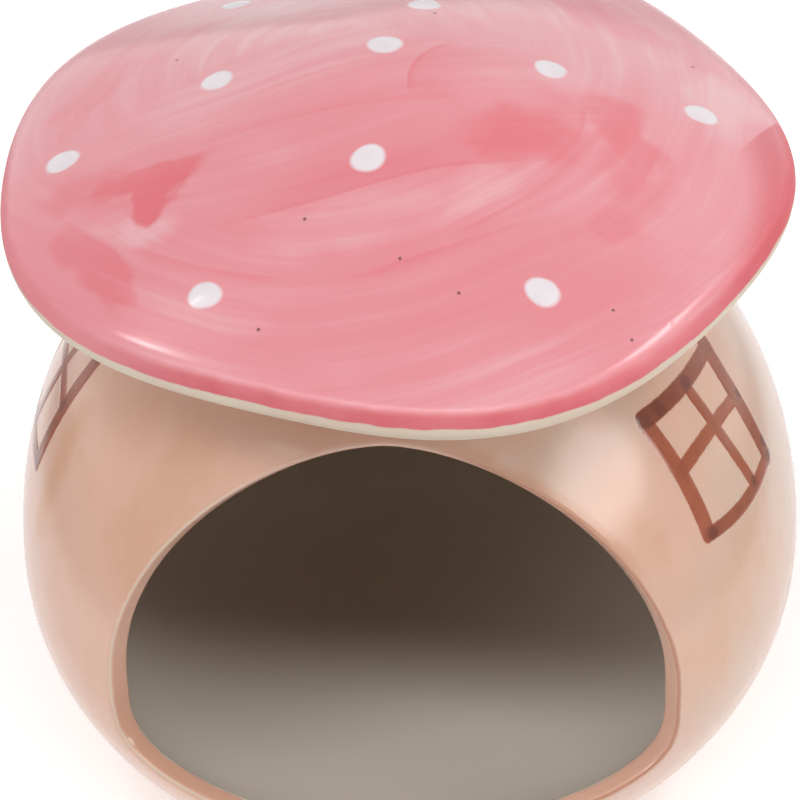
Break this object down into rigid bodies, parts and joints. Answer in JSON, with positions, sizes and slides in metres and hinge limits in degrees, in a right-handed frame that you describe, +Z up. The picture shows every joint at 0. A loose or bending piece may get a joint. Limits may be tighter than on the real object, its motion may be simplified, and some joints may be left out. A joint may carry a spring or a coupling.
{
  "type": "ceramic hamster hideout",
  "caption": "Mushroom-shaped ceramic house for a small pet: a round hollow body with a wide arched mouth under a broad wavy cap with dots.",
  "frame": {"origin": "on the body's axis, in the plane of the foot ring that stands on the table", "axes": "+Z up through the peak of the cap, -Y out of the mouth, +X to the right as seen from the front"},
  "size_m": [0.11, 0.1105, 0.1158],
  "materials": {
    "glazed_ceramic": "glossy glaze over brushed pink and tan colour, cream inside"
  },
  "bodies": {
    "root": {"hideout": "glazed_ceramic"}
  },
  "joints": []
}
